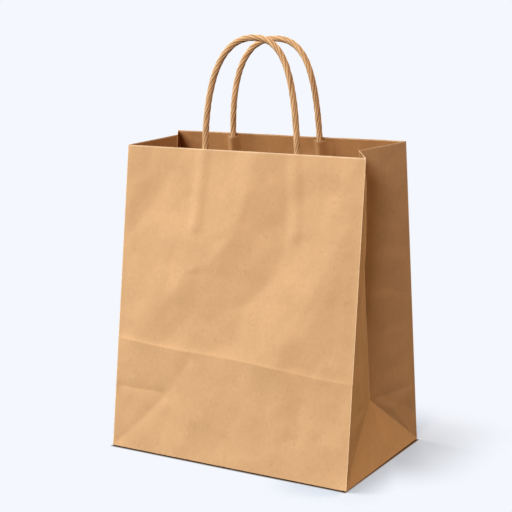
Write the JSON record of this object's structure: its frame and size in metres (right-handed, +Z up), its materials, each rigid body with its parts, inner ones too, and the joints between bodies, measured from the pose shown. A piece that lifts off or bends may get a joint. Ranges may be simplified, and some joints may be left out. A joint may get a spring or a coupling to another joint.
{
  "type": "paper carrier bag",
  "caption": "Open brown kraft paper carrier bag with folded side gussets, a flat block bottom and two twisted paper loop handles held inside by glued patches.",
  "frame": {"origin": "middle of the base, on the surface that the bag stands on", "axes": "+X along the width of the front and back panels, -Y out of the front panel, +Z up to the mouth and the handles"},
  "size_m": [0.254, 0.168, 0.4021],
  "materials": {
    "kraft_sheet": "matte natural kraft",
    "paper_cord": "matte twisted kraft",
    "patch_paper": "matte natural kraft"
  },
  "bodies": {
    "root": {"bag_body": "kraft_sheet", "front_handle": "paper_cord", "back_handle": "paper_cord", "front_handle_patch": "patch_paper", "back_handle_patch": "patch_paper"}
  },
  "joints": []
}
